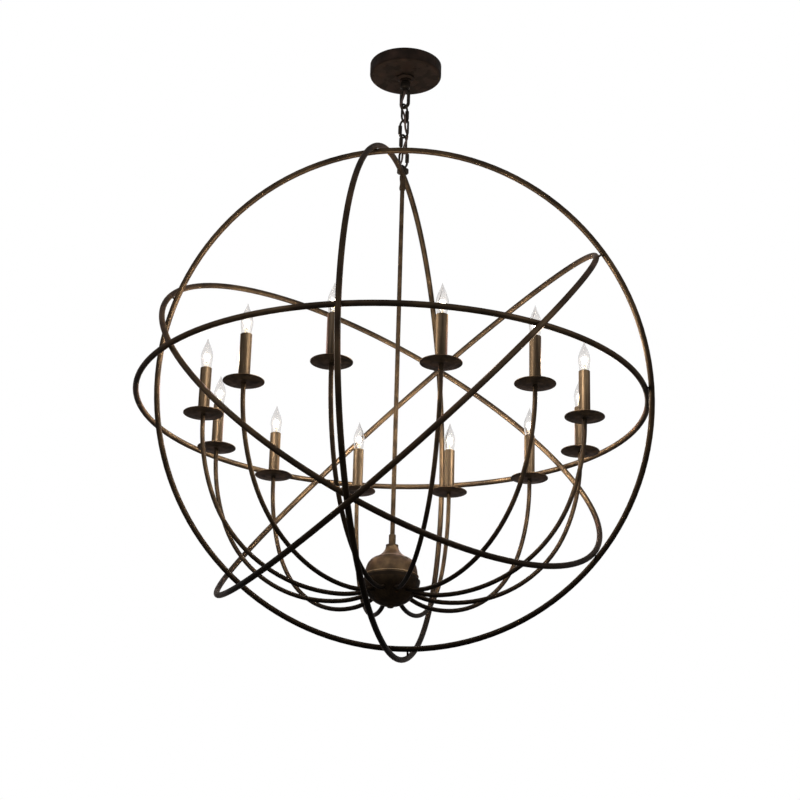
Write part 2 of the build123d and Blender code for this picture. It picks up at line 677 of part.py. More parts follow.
dish_top = ring_z + DISH_THICK
post = drum(post_d, ring_z - POST_IN_ARM, dish_top + POST_IN_SOCKET)
post -= drum(POST_BORE, ring_z - POST_IN_ARM - 1, dish_top + POST_IN_SOCKET + 1)
save_set([bowl_screw] + around(Pos(RING_RADIUS, 0, 0) * post), "fixture_hardware")

socket_top = sleeve_top - SOCKET_BELOW_TOP
socket_bottom = socket_top - SOCKET_H
base_top = sleeve_top - BASE_BELOW_TOP
base_bottom = base_top - BASE_H
cavity_bottom = base_bottom - BASE_TIP_H - BULB_FIT
lead_end = cavity_bottom - CONTACT_PLATE
socket = drum(SLEEVE_BORE - 2 * SLIP_FIT, socket_bottom, socket_top)
socket += drum(SOCKET_STEM_D, dish_top, socket_bottom)
socket -= drum(BASE_D + 2 * BULB_FIT, cavity_bottom, socket_top + 1)
socket -= drum(POST_BORE, dish_top - 1, lead_end)
socket -= drum(post_d + 2 * THREAD_FIT, dish_top - 1, dish_top + POST_IN_SOCKET)
save_set(around(Pos(RING_RADIUS, 0, 0) * socket), "lamp_sockets")

lead = along(arm_route(splice_r, lead_end), LAMP_LEAD_D)
save_set(around(lead), "lamp_leads")

candle_sleeve = drum(SLEEVE_D, dish_top, sleeve_top) - drum(SLEEVE_BORE, dish_top - 1, sleeve_top + 1)
save_set(around(Pos(RING_RADIUS, 0, 0) * candle_sleeve), "candle_sleeves")

# Bulbs: screw base with its wires and filament, and the glass with its inner stem
cup_floor = base_top - BASE_CUP_DEPTH
base_r = BASE_D / 2
tip_r = BASE_TIP_D / 2
base = turned([
    (0, base_bottom - BASE_TIP_H), (tip_r, base_bottom - BASE_TIP_H), (base_r, base_bottom),
    (base_r, base_top), (GLASS_NECK_D / 2 + SLIP_FIT, base_top), (GLASS_NECK_D / 2 + SLIP_FIT, cup_floor),
    (0, cup_floor),
])
half_w = FILAMENT_W / 2
filament_top = cup_floor + FILAMENT_H
filament_line = Plane.XZ * Wire([
    Line((half_w, cup_floor), (half_w, filament_top - half_w)),
    ThreePointArc((half_w, filament_top - half_w), (0, filament_top), (-half_w, filament_top - half_w)),
    Line((-half_w, filament_top - half_w), (-half_w, cup_floor)),
])
filament_start = Plane(origin=(half_w, 0, cup_floor), z_dir=(0, 0, 1))
base += sweep(filament_start * Circle(FILAMENT_WIRE / 2), path=filament_line)

glass_r = GLASS_D / 2
glass_foot = GLASS_NECK_D / 2


def glass_side(inset, high):
    """Side of the bulb: a foot that widens inside the sleeve, full belly and long point."""
    tall = high - sleeve_top
    return Spline(
        (glass_foot - inset, base_top), (0.73 * glass_r - inset, sleeve_top),
        (0.89 * glass_r - inset, sleeve_top + 0.17 * tall), (glass_r - inset, sleeve_top + 0.35 * tall),
        (0.86 * glass_r - inset, sleeve_top + 0.55 * tall), (0.45 * glass_r - inset, sleeve_top + 0.77 * tall),
        (0, high), tangents=[(0.6, 1), (-0.3, 1)],
    )


glass_top = sleeve_top + GLASS_H
glass_inside = glass_top - 4 * GLASS_WALL
foot_inside = glass_foot - GLASS_WALL
glass_face = make_face([
    Line((glass_foot, cup_floor), (glass_foot, base_top)), glass_side(0, glass_top),
    Line((0, glass_top), (0, glass_inside)), glass_side(GLASS_WALL, glass_inside),
    Line((foot_inside, base_top), (foot_inside, cup_floor)), Line((foot_inside, cup_floor), (glass_foot, cup_floor)),
])
envelope = revolve(Plane.XZ * glass_face, Axis.Z)
glass_stem = drum(GLASS_STEM_D, cup_floor, cup_floor + GLASS_STEM_H)
for number in range(CANDLE_COUNT):
    place = Rot(Z=FIRST_CANDLE + 360 / CANDLE_COUNT * number) * Pos(RING_RADIUS, 0, 0)
    label = str(number + 1).zfill(2)
    save(place * base, "bulb_base_" + label)
    save_set([place * envelope, place * glass_stem], "bulb_glass_" + label)

print("link axes", round(loop_bottom_wire, 2), [round(z, 2) for z in link_bottoms])
print("side hoop top", round(side_top, 2), "orb centre", round(orb_centre.Z, 2), "ring", round(ring_z, 2))
print("bowl centre", round(bowl_z, 2), "sleeve top", round(sleeve_top, 2), "eye base top", round(eye_base_top, 2))
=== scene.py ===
"""Orb chandelier: finishes, bulbs, supply cord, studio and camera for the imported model."""

import math

import bpy
import numpy as np
from bpy.props import FloatProperty, FloatVectorProperty, IntProperty, PointerProperty
from mathutils import Matrix, Vector


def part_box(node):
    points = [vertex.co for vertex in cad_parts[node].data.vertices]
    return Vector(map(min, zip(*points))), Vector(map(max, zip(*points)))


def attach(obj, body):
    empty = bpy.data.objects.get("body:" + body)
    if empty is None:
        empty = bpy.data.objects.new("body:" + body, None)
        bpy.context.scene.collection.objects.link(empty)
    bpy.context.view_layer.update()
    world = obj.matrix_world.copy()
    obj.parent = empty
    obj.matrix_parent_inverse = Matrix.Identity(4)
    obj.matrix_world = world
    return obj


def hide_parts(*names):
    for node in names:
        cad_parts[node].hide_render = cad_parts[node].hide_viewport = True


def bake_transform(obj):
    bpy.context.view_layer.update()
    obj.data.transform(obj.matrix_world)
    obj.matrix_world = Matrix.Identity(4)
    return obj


bl_info = {
    "name": "Orb chandelier",
    "version": (1, 0, 0),
    "blender": (4, 5, 0),
    "location": "3D View > Sidebar > Chandelier",
    "description": "Dresses the packed orb chandelier and sets up its studio",
    "category": "Object",
}

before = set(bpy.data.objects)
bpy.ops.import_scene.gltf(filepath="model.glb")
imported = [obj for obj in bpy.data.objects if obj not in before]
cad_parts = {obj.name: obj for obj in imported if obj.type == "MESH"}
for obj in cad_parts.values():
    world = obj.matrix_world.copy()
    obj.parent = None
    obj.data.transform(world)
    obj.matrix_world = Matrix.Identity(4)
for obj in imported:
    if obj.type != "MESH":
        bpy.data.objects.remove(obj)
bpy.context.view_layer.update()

UPRIGHT_HOOPS = ("front_hoop", "side_hoop")
LEANING_HOOPS = ("level_hoop", "left_slanted_hoop", "right_slanted_hoop")
CHAIN_LINKS = ("chain_link_1", "chain_link_2", "chain_link_3", "chain_link_4")
BULBS = ["%02d" % (number + 1) for number in range(12)]

# Control points of the supply cord, one list for each hinge of the chain
CORD_ROUTES = (
    ((0, 0, -0.004), (0, 0, -0.0419), (0, 0, -0.0808), (-0.01214, -0.00351, -0.1178),
     (-0.00691, -0.003, -0.1285)),
    ((-0.00691, -0.003, -0.1285), (-0.00168, -0.00249, -0.1392), (0.00219, -0.01124, -0.1614),
     (0.00234, -0.00646, -0.1725)),
    ((0.00234, -0.00646, -0.1725), (0.00249, -0.00168, -0.1836), (0.01124, 0.00219, -0.2058),
     (0.00646, 0.00234, -0.2169)),
    ((0.00646, 0.00234, -0.2169), (0.00168, 0.00249, -0.228), (-0.00219, 0.01124, -0.2502),
     (-0.00234, 0.00646, -0.2613)),
    ((-0.00234, 0.00646, -0.2613), (-0.00249, 0.00168, -0.2724), (-0.00954, -0.00153, -0.29438),
     (-0.00954, -0.00153, -0.30615)),
)
# Sides of the cord's tube, the way its first side faces, and the steps drawn along each stretch's line
CORD_SIDES = 20
CORD_SIDE_WAY = (1.0, 0.0, 0.0)
CORD_LINE_STEPS = 16
# Threads of the cord's jacket, side by side around it and along a metre of it
THREADS_AROUND = 6
THREADS_PER_METRE = 420

# Colours that bronze takes where it is seen edge on
EDGE_SHEEN = (0.34, 0.24, 0.16, 1)
SLEEVE_SHEEN = (0.38, 0.29, 0.2, 1)
# Colour of a bead that is rubbed bright, worn and carrying a painted highlight, and the distances over which
# it fades
WORN_BEAD_HIGHLIGHT = (0.17, 0.12, 0.075, 1)
BEAD_FADE = (0.0008, 0.0028)
# Specks in the width of one cloud, and the shares of clouds and specks in the bronze's colour
SPECKS_PER_CLOUD = 14
CLOUD_SHARE = 0.94
SPECK_SHARE = 0.06
# Sizes of the clouds on each piece, as shares of the mottle size
MOTTLE_SHARES = {"hoop": 1.4, "arm": 0.8, "stem": 0.7, "canopy": 0.6, "hub": 0.5, "dish": 0.4, "chain": 0.3}
# Shades of the bronze, as shares of its colour: painted shade on the upright hoops, the bowl and below the
# foot bands, painted light on the dishes, and the chain's worn clouds
UPRIGHT_PAINTED_SHADE = 0.7
BOWL_PAINTED_SHADE = 0.45
DISH_PAINTED_LIGHT = 1.8
FOOT_PAINTED_SHADE = 0.4
CHAIN_WORN_SHADE = 2.6
# Places of the cap's two worn lines, which also carry painted highlights, below its top, and the band below
# the lower one where painted shade darkens the cap
CAP_SHOULDER_DOWN = 0.032
CAP_BEAD_DOWN = 0.0765
CAP_SHADOW = (0.004, 0.003)
# The least share of light streaks on a sleeve, at its dish, where painted shade darkens it most
SLEEVE_SHADED_FOOT_SHARE = 0.35

# Filament arch and its coil
FILAMENT_WIDTH = 0.0072
FILAMENT_RISE = 0.006
POINTS_PER_TURN = 14
COIL_SIDES = 6
COIL_SIDE_WAY = (0.02, 1.0, 0.03)
COIL_TAPER = 0.3
# Length of the glowing ends of the wires, and the heights around its start where the glow sets in
HOT_WIRE_LENGTH = 0.012
HOT_WIRE_FADE = (-0.002, 0.004)
# The painted glow in the glass, which stands in for its filament's light, as shares of its height: its
# middle, and the distances over which it fades
GLOW_MIDDLE = 0.44
GLOW_FADE = (0.02, 0.18)
# The share of the glass's height where painted grey shade starts on its tip, and how grey that painted shade
# gets
TIP_START = 0.6
TIP_PAINTED_GREY = 0.35
BULB_LAMP_RADIUS = 0.008

# How much paler the floor looks than the light on it makes it
FLOOR_PALENESS = 0.66
FLOOR_REACH = 7.0
FLOOR_LINES = 15
STUDIO_LAMP_SIZE = 2.6
KEY_PLACE = (-3.2, -4.2, 1.9)
FILL_PLACE = (3.6, -3.0, 0.9)
ORB_CENTRE = (0, 0, -0.93)
CAMERA_PLACE = (0.009, -4.405, -2.617)
CAMERA_LENS = 87.75
CAMERA_SENSOR = 36.0
CAMERA_REACH = 100.0
CAMERA_RISE = math.radians(21.0)
CAMERA_ROLL = math.radians(1.6)


class BronzeSettings(bpy.types.PropertyGroup):
    """Colours of the metal finishes."""

    dark: FloatVectorProperty(
        name="Dark bronze", description="Colour of the finish where it is thick",
        subtype="COLOR", size=4, default=(0.0185, 0.013, 0.0092, 1))
    rubbed: FloatVectorProperty(
        name="Rubbed bronze", description="Colour of the finish where it is rubbed thin",
        subtype="COLOR", size=4, default=(0.064, 0.042, 0.024, 1))
    sleeve_dark: FloatVectorProperty(
        name="Dark streaks", description="Dark streaks on the candle sleeves",
        subtype="COLOR", size=4, default=(0.03, 0.021, 0.0135, 1))
    sleeve_light: FloatVectorProperty(
        name="Light streaks", description="Light streaks on the candle sleeves",
        subtype="COLOR", size=4, default=(0.1, 0.071, 0.0455, 1))
    chain: FloatVectorProperty(
        name="Chain black", description="Colour of the chain and its loops",
        subtype="COLOR", size=4, default=(0.0075, 0.006, 0.005, 1))
    canopy: FloatVectorProperty(
        name="Canopy brown", description="Colour of the canopy where it is rubbed thin",
        subtype="COLOR", size=4, default=(0.0185, 0.011, 0.0086, 1))
    mottle: FloatProperty(
        name="Mottle size", description="Size of the clouds in the bronze",
        subtype="DISTANCE", default=0.05, min=0.005)


class BulbSettings(bpy.types.PropertyGroup):
    """Sizes and glow of the bulbs."""

    glow: FloatVectorProperty(
        name="Glow", description="Colour of the lit filament",
        subtype="COLOR", size=4, default=(1.0, 0.8, 0.52, 1))
    filament_strength: FloatProperty(
        name="Filament strength", description="Brightness of the filament", default=28.0, min=0.0)
    haze: FloatVectorProperty(
        name="Haze", description="Colour of the light in the glass",
        subtype="COLOR", size=4, default=(1.0, 0.9, 0.76, 1))
    haze_strength: FloatProperty(
        name="Glass glow", description="Brightness that the lit glass shows at its belly",
        default=0.05, min=0.0)
    lamp_power: FloatProperty(
        name="Lamp power", description="Power of the light that each bulb throws",
        subtype="POWER", default=5.5, min=0.0)
    coil_turns: IntProperty(name="Coil turns", description="Turns of the filament coil", default=22, min=3)
    coil_radius: FloatProperty(
        name="Coil radius", description="Radius of the filament coil",
        subtype="DISTANCE", default=0.0009, min=0.0001)
    coil_wire: FloatProperty(
        name="Coil wire", description="Radius of the coil's wire",
        subtype="DISTANCE", default=0.0002, min=0.00005)


class CordSettings(bpy.types.PropertyGroup):
    """Size and colour of the supply cord."""

    diameter: FloatProperty(
        name="Diameter", description="Diameter of the cord's jacket",
        subtype="DISTANCE", default=0.0052, min=0.001)
    colour: FloatVectorProperty(
        name="Jacket", description="Colour of the cord's jacket",
        subtype="COLOR", size=4, default=(0.024, 0.0115, 0.008, 1))
    worn: FloatVectorProperty(
        name="Thread tops", description="Colour of the raised threads",
        subtype="COLOR", size=4, default=(0.055, 0.027, 0.019, 1))


class StageSettings(bpy.types.PropertyGroup):
    """Studio floor and lamps."""

    floor_level: FloatProperty(
        name="Floor level", description="Height of the floor", subtype="DISTANCE", default=-2.75)
    key_power: FloatProperty(
        name="Key power", description="Power of the main soft lamp",
        subtype="POWER", default=60.0, min=0.0)
    fill_power: FloatProperty(
        name="Fill power", description="Power of the second soft lamp",
        subtype="POWER", default=30.0, min=0.0)
    world_strength: FloatProperty(
        name="Room light", description="Strength of the even light from all sides", default=0.35, min=0.0)


class ChandelierSettings(bpy.types.PropertyGroup):
    """All settings of the chandelier."""

    bronze: PointerProperty(type=BronzeSettings)
    bulb: PointerProperty(type=BulbSettings)
    cord: PointerProperty(type=CordSettings)
    stage: PointerProperty(type=StageSettings)


class Flow:
    """A socket in a shader tree; arithmetic on it adds Math nodes to that tree."""

    def __init__(self, tree, socket=None):
        self.tree = tree
        self.socket = socket

    def node(self, kind, settings, sockets, out=0):
        """Adds a node, sets its settings, then fills or links its sockets."""
        made = self.tree.nodes.new(kind)
        for name, value in settings.items():
            setattr(made, name, value)
        for key, value in sockets.items():
            if isinstance(value, Flow):
                self.tree.links.new(value.socket, made.inputs[key])
            else:
                made.inputs[key].default_value = value
        return Flow(self.tree, made.outputs[out])

    def math(self, operation, *values):
        """One Math node on these values."""
        return self.node("ShaderNodeMath", {"operation": operation}, dict(enumerate(values)))

    def mix(self, first, second):
        """Colour between two others, with this value as the share of the second."""
        return self.node("ShaderNodeMix", {"data_type": "RGBA"}, {0: self, 6: first, 7: second}, out=2)

    def steps(self, low, high):
        """0 below low, 1 above high and smooth between them."""
        return self.node("ShaderNodeMapRange", {"interpolation_type": "SMOOTHSTEP"},
                         {"Value": self, "From Min": low, "From Max": high})

    def noise(self, scale, detail=3.0, roughness=0.5):
        """Cloud noise from 0 to 1 at this place."""
        return self.node("ShaderNodeTexNoise", {},
                         {"Vector": self, "Scale": scale, "Detail": detail, "Roughness": roughness})

    def stretched(self, scale):
        """This place with each of its parts multiplied."""
        return self.node("ShaderNodeMapping", {}, {"Vector": self, "Scale": scale})

    def part(self, axis):
        """One of this place's three parts."""
        return self.node("ShaderNodeSeparateXYZ", {}, {"Vector": self}, out=axis)

    def bump(self, strength, distance):
        """Surface direction that this height gives."""
        return self.node("ShaderNodeBump", {}, {"Height": self, "Strength": strength, "Distance": distance})

    def sine(self):
        return self.math("SINE", self)

    def into(self, shader, name):
        """Links this value to a shader's socket."""
        self.tree.links.new(self.socket, shader.inputs[name])

    def __add__(self, other):
        return self.math("ADD", self, other)

    def __sub__(self, other):
        return self.math("SUBTRACT", self, other)

    def __mul__(self, other):
        return self.math("MULTIPLY", self, other)

    def __rsub__(self, other):
        return self.math("SUBTRACT", other, self)

    __radd__ = __add__
    __rmul__ = __mul__


def new_finish(name, place, **constants):
    """A new material with its shader, and the surface place that its pattern reads."""
    material = bpy.data.materials.new(name)
    material.use_nodes = True
    shader = material.node_tree.nodes["Principled BSDF"]
    for socket, value in constants.items():
        shader.inputs[socket.replace("_", " ")].default_value = value
    where = Flow(material.node_tree).node("ShaderNodeTexCoord", {}, {}, out=place)
    return material, shader, where


def glowing_finish(name, place, **constants):
    """A new finish that glows but isn't searched for as a lamp, which would make the picture grainy."""
    material, shader, where = new_finish(name, place, **constants)
    material.cycles.emission_sampling = "NONE"
    return material, shader, where


def scaled(colour, share):
    """The same colour, lighter or darker."""
    return tuple(part * share for part in colour[:3]) + (1,)


def dress(material, *nodes):
    """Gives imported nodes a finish."""
    for name in nodes:
        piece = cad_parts[name]
        for slot in piece.material_slots:
            slot.material = material


def bronze_finish(name, dark, rubbed, mottle, metallic=0.75, roughness=0.42, worn_and_highlit_levels=(), painted_shade_band=None):
    """Mottled rubbed bronze: clouds of two colours with specks, and a fine skin.

    A bead at each of the worn levels is rubbed bright, as wear with a painted highlight. Painted shade
    darkens the bronze downwards over a given band of heights.
    """
    material, shader, where = new_finish(
        name, "Object", Metallic=metallic, Specular_IOR_Level=0.25, Specular_Tint=EDGE_SHEEN)
    clouds = where.noise(scale=1 / mottle, detail=4.0).steps(0.25, 0.8)
    specks = where.noise(scale=SPECKS_PER_CLOUD / mottle, detail=2.0).steps(0.45, 0.75)
    share = clouds * CLOUD_SHARE + specks * SPECK_SHARE
    colour = share.mix(tuple(dark), tuple(rubbed))
    # Each worn level is painted bright: rubbed wear and a painted highlight on the bead
    for level in worn_and_highlit_levels:
        height = where.part(2)
        away = height.math("ABSOLUTE", height - level)
        wear_and_highlight = (1 - away.steps(*BEAD_FADE)) * (0.5 + 0.5 * clouds)
        colour = wear_and_highlight.mix(colour, WORN_BEAD_HIGHLIGHT)
    # Painted shade: below the given band of heights the bronze darkens to a share of its dark colour
    if painted_shade_band:
        over = where.part(2).steps(*painted_shade_band)
        colour = over.mix(scaled(dark, FOOT_PAINTED_SHADE), colour)
    colour.into(shader, "Base Color")
    (roughness + 0.16 * (1 - clouds) + 0.04 * specks).into(shader, "Roughness")
    skin = where.noise(scale=240, detail=2.0) * 0.6 + where.noise(scale=70, detail=2.0) * 0.4
    skin.bump(strength=0.02, distance=0.0002).into(shader, "Normal")
    return material


def sleeve_finish(dark, light, low, high):
    """Aged bronze with streaks that run up the sleeve, darkened by painted shade towards the dish."""
    material, shader, where = new_finish(
        "sleeve_bronze_finish", "Object", Metallic=0.65, Specular_IOR_Level=0.12, Specular_Tint=SLEEVE_SHEEN)
    broad = where.stretched((130, 130, 5)).noise(scale=1.0, detail=3.0, roughness=0.55).steps(0.34, 0.66)
    fine = where.stretched((520, 520, 16)).noise(scale=1.0, detail=2.0).steps(0.3, 0.75)
    blotch = where.noise(scale=55, detail=3.0).steps(0.45, 0.7)
    # Painted shade: the light streaks fade towards the dish, away from the bulb's light
    up = where.part(2).steps(low, high)
    streaks = broad * 0.6 + fine * 0.25 + blotch * 0.15
    share = streaks * (SLEEVE_SHADED_FOOT_SHARE + (1 - SLEEVE_SHADED_FOOT_SHARE) * up)
    share.mix(tuple(dark), tuple(light)).into(shader, "Base Color")
    (0.4 + 0.2 * (1 - broad)).into(shader, "Roughness")
    (fine * 0.7 + blotch * 0.3).bump(strength=0.2, distance=0.0005).into(shader, "Normal")
    return material


def steel_finish():
    """Plain plated steel with fine brush lines."""
    material, shader, where = new_finish("plated_steel_finish", "Object", Metallic=1.0)
    lines = where.stretched((60, 900, 900)).noise(scale=1.0, detail=2.0)
    lines.mix((0.42, 0.41, 0.39, 1), (0.62, 0.61, 0.59, 1)).into(shader, "Base Color")
    (0.28 + 0.2 * lines).into(shader, "Roughness")
    lines.bump(strength=0.1, distance=0.0003).into(shader, "Normal")
    return material


def plastic_finish(name, colour, grain):
    """Dark moulded plastic with a fine grain."""
    material, shader, where = new_finish(name, "Object")
    grains = where.noise(scale=grain, detail=2.0)
    pale = tuple(min(1.0, part * 1.8 + 0.01) for part in colour[:3]) + (1,)
    (grains * 0.5).mix(tuple(colour), pale).into(shader, "Base Color")
    (0.45 + 0.2 * grains).into(shader, "Roughness")
    grains.bump(strength=0.15, distance=0.0003).into(shader, "Normal")
    return material


def brass_finish(glow, strength, lit_above):
    """Brass with faint turning lines; above one height the wires glow."""
    material, shader, where = glowing_finish(
        "bulb_brass_finish", "Object", Metallic=1.0, Emission_Strength=strength)
    height = where.part(2)
    turns = where.stretched((40, 40, 1400)).noise(scale=1.0, detail=2.0)
    turns.mix((0.42, 0.3, 0.13, 1), (0.66, 0.52, 0.27, 1)).into(shader, "Base Color")
    (0.22 + 0.18 * turns).into(shader, "Roughness")
    lit = height.steps(*(lit_above + fade for fade in HOT_WIRE_FADE))
    lit.mix((0, 0, 0, 1), tuple(glow)).into(shader, "Emission Color")
    return material


def glass_finish(glow, strength, low, high):
    """Clear glass with a painted glow at its belly, standing in for its filament's light, and painted grey
    shade towards its rim and tip.
    """
    material, shader, where = glowing_finish(
        "bulb_glass_finish", "Object", IOR=1.45, Transmission_Weight=1.0, Emission_Strength=strength)
    height = where.part(2)
    tall = high - low
    rim = where.node("ShaderNodeLayerWeight", {}, {"Blend": 0.5}, out="Facing")
    # Painted glow at the glass's belly, standing in for the filament's light
    away = height.math("ABSOLUTE", height - (low + GLOW_MIDDLE * tall))
    painted_glow = (1 - away.steps(*(fade * tall for fade in GLOW_FADE))) * (1 - rim) * (1 - rim)
    painted_glow.mix((0, 0, 0, 1), tuple(glow)).into(shader, "Emission Color")
    # Painted grey shade towards the glass's rim and tip
    tip = height.steps(low + TIP_START * tall, high) * TIP_PAINTED_GREY
    shade = rim.math("MAXIMUM", rim.steps(0.35, 1.0), tip)
    shade.mix((0.86, 0.845, 0.835, 1), (0.62, 0.61, 0.615, 1)).into(shader, "Base Color")
    (0.02 + 0.03 * where.noise(scale=90, detail=2.0)).into(shader, "Roughness")
    return material


def filament_finish(glow, strength, length):
    """Glowing wire, brightest half way along the coil."""
    material, shader, where = glowing_finish("filament_finish", "UV", Emission_Strength=strength)
    along = where.part(1) * (1 / length)
    heat = 1 - (along * 2 - 1) * (along * 2 - 1)
    heat.mix((0.9, 0.55, 0.25, 1), tuple(glow)).into(shader, "Emission Color")
    heat.mix((0.2, 0.12, 0.06, 1), (0.5, 0.42, 0.3, 1)).into(shader, "Base Color")
    return material


def cord_finish(colour, worn):
    """Woven jacket: two sets of threads that cross, raised where they pass over."""
    material, shader, where = new_finish("cord_brown_finish", "UV")
    around, along = where.part(0), where.part(1)
    left = ((around * THREADS_AROUND + along * THREADS_PER_METRE) * (2 * math.pi)).sine()
    right = ((around * THREADS_AROUND - along * THREADS_PER_METRE) * (2 * math.pi)).sine()
    threads = left * right * 0.5 + 0.5
    threads.mix(tuple(colour), tuple(worn)).into(shader, "Base Color")
    (0.62 + 0.2 * threads).into(shader, "Roughness")
    threads.bump(strength=0.35, distance=0.0004).into(shader, "Normal")
    return material


def floor_finish():
    """Pale floor paint that the camera sees paler than it is lit."""
    material, shader, where = glowing_finish(
        "floor_paint", "Object", Roughness=0.7, Emission_Strength=FLOOR_PALENESS)
    seen = where.node("ShaderNodeLightPath", {}, {}, out="Is Camera Ray")
    seen.mix((0, 0, 0, 1), (1, 1, 1, 1)).into(shader, "Emission Color")
    clouds = where.noise(scale=3.0, detail=2.0)
    clouds.mix((0.4, 0.4, 0.39, 1), (0.44, 0.44, 0.43, 1)).into(shader, "Base Color")
    return material


def new_piece(name, grid, closed):
    """A mesh from a grid of points [along, around, 3], with a UV map of the two grid ways.

    Faces join each row to the next. In a closed piece the rows are rings, and flat fans close the two ends.
    """
    along, around = grid.shape[:2]
    points = grid.reshape(-1, 3)
    ring = np.arange(along * around).reshape(along, around)
    last = around if closed else around - 1
    ahead = np.roll(ring, -1, axis=1)[:, :last]
    here = ring[:, :last]
    quads = np.stack([here[:-1], ahead[:-1], ahead[1:], here[1:]], axis=-1).reshape(-1, 4)
    left = np.broadcast_to(np.arange(last) / last, (along - 1, last))
    right = left + 1 / last
    lengths = np.linalg.norm(np.diff(grid.mean(axis=1), axis=0), axis=1)
    travel = np.concatenate([[0.0], np.cumsum(lengths)])
    start = np.broadcast_to(travel[:-1, None], (along - 1, last))
    end = np.broadcast_to(travel[1:, None], (along - 1, last))
    across = np.stack([left, right, right, left], -1)
    onward = np.stack([start, start, end, end], -1)
    faces = quads.tolist()
    corners = [np.stack([across, onward], -1).reshape(-1, 2)]
    if closed:
        centres = len(points) + np.arange(2)
        points = np.concatenate([points, grid[[0, -1]].mean(axis=1)])
        first = np.stack([np.full(last, centres[0]), ahead[0], here[0]], axis=-1)
        final = np.stack([np.full(last, centres[1]), here[-1], ahead[-1]], axis=-1)
        faces += first.tolist() + final.tolist()
        corners.append(np.tile([0.5, 0.0], (3 * last, 1)))
        corners.append(np.tile([0.5, travel[-1]], (3 * last, 1)))
    mesh = bpy.data.meshes.new(name)
    mesh.from_pydata(points.tolist(), [], faces)
    layer = mesh.uv_layers.new(name="UVMap")
    layer.data.foreach_set("uv", np.concatenate(corners).astype(np.float32).ravel())
    mesh.polygons.foreach_set("use_smooth", np.ones(len(mesh.polygons), dtype=bool))
    mesh.update()
    piece = bpy.data.objects.new(name, mesh)
    bpy.context.scene.collection.objects.link(piece)
    return piece


def tube(path, radius, sides, side_way):
    """Rings of a tube: point = path + radius (cos a n + sin a b), with n and b across the path.

    n is side_way with its share along the path taken off, and b completes the pair.
    """
    tangent = np.gradient(path, axis=0)
    tangent /= np.linalg.norm(tangent, axis=1, keepdims=True)
    normal = np.asarray(side_way) - tangent * (tangent @ np.asarray(side_way))[:, None]
    normal /= np.linalg.norm(normal, axis=1, keepdims=True)
    binormal = np.cross(tangent, normal)
    turn = np.linspace(0, 2 * math.pi, sides, endpoint=False)
    circle = np.cos(turn)[None, :, None] * normal[:, None] + np.sin(turn)[None, :, None] * binormal[:, None]
    return path[:, None] + radius * circle


def coil_path(width, height, turns, radius):
    """Filament arch with its coil, u from 0 to 1.

    Arch: x = width/2 cos(pi (1 - u)), z = height sin(pi u).
    Coil: an offset of radius f (cos w out + sin w y), with out = (cos(pi (1 - u)), 0, sin(pi (1 - u))),
    w = 2 pi turns u and f = sin(pi u) to the power of the taper.
    """
    u = np.linspace(0, 1, turns * POINTS_PER_TURN)
    angle = math.pi * (1 - u)
    arch = np.stack([width / 2 * np.cos(angle), np.zeros_like(u), height * np.sin(angle)], axis=-1)
    out = np.stack([np.cos(angle), np.zeros_like(u), np.sin(angle)], axis=-1)
    wind = 2 * math.pi * turns * u
    size = radius * np.sin(math.pi * u) ** COIL_TAPER
    offset = np.cos(wind)[:, None] * out + np.sin(wind)[:, None] * np.array([0.0, 1.0, 0.0])
    return arch + size[:, None] * offset


def path_length(path):
    """Length of a line of points."""
    return float(np.linalg.norm(np.diff(path, axis=0), axis=1).sum())


def cord_line(context, route):
    """Points along a stretch of cord: the smooth NURBS line with the route's points as its control points."""
    curve = bpy.data.curves.new("cord_line", "CURVE")
    curve.dimensions = "3D"
    spline = curve.splines.new("NURBS")
    spline.points.add(len(route) - 1)
    for point, place in zip(spline.points, route):
        point.co = (*place, 1.0)
    spline.order_u = 3
    spline.use_endpoint_u = True
    spline.resolution_u = CORD_LINE_STEPS
    line = bpy.data.objects.new("cord_line", curve)
    context.scene.collection.objects.link(line)
    context.view_layer.update()
    drawn = bpy.data.meshes.new_from_object(line.evaluated_get(context.evaluated_depsgraph_get()))
    path = np.empty(len(drawn.vertices) * 3)
    drawn.vertices.foreach_get("co", path)
    bpy.data.objects.remove(line)
    bpy.data.meshes.remove(drawn)
    return path.reshape(-1, 3)


def new_lamp(name, kind, power, place):
    """A new lamp in the scene."""
    lamp = bpy.data.objects.new(name, bpy.data.lights.new(name, kind))
    lamp.data.energy = power
    lamp.location = place
    bpy.context.scene.collection.objects.link(lamp)
    return lamp


class CHANDELIER_OT_hoops(bpy.types.Operator):
    """Gives the five hoops and their pins the rubbed bronze finish"""

    bl_idname = "chandelier.hoops"
    bl_label = "Finish the hoops"

    def execute(self, context):
        bronze = context.scene.chandelier.bronze
        mottle = bronze.mottle * MOTTLE_SHARES["hoop"]
        low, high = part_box("side_hoop")
        # Painted shade darkens the hoops' lower half
        shaded_lower_half = (low.z, (low.z + high.z) / 2)
        dress(bronze_finish("hoop_bronze_finish", bronze.dark, bronze.rubbed, mottle, painted_shade_band=shaded_lower_half),
              *LEANING_HOOPS, "hoop_pins")
        # Painted shade: the upright hoops take a darker copy of the same bronze
        upright = scaled(bronze.dark, UPRIGHT_PAINTED_SHADE), scaled(bronze.rubbed, UPRIGHT_PAINTED_SHADE)
        dress(bronze_finish("upright_hoop_painted_shade_finish", *upright, mottle, painted_shade_band=shaded_lower_half), *UPRIGHT_HOOPS)
        return {"FINISHED"}


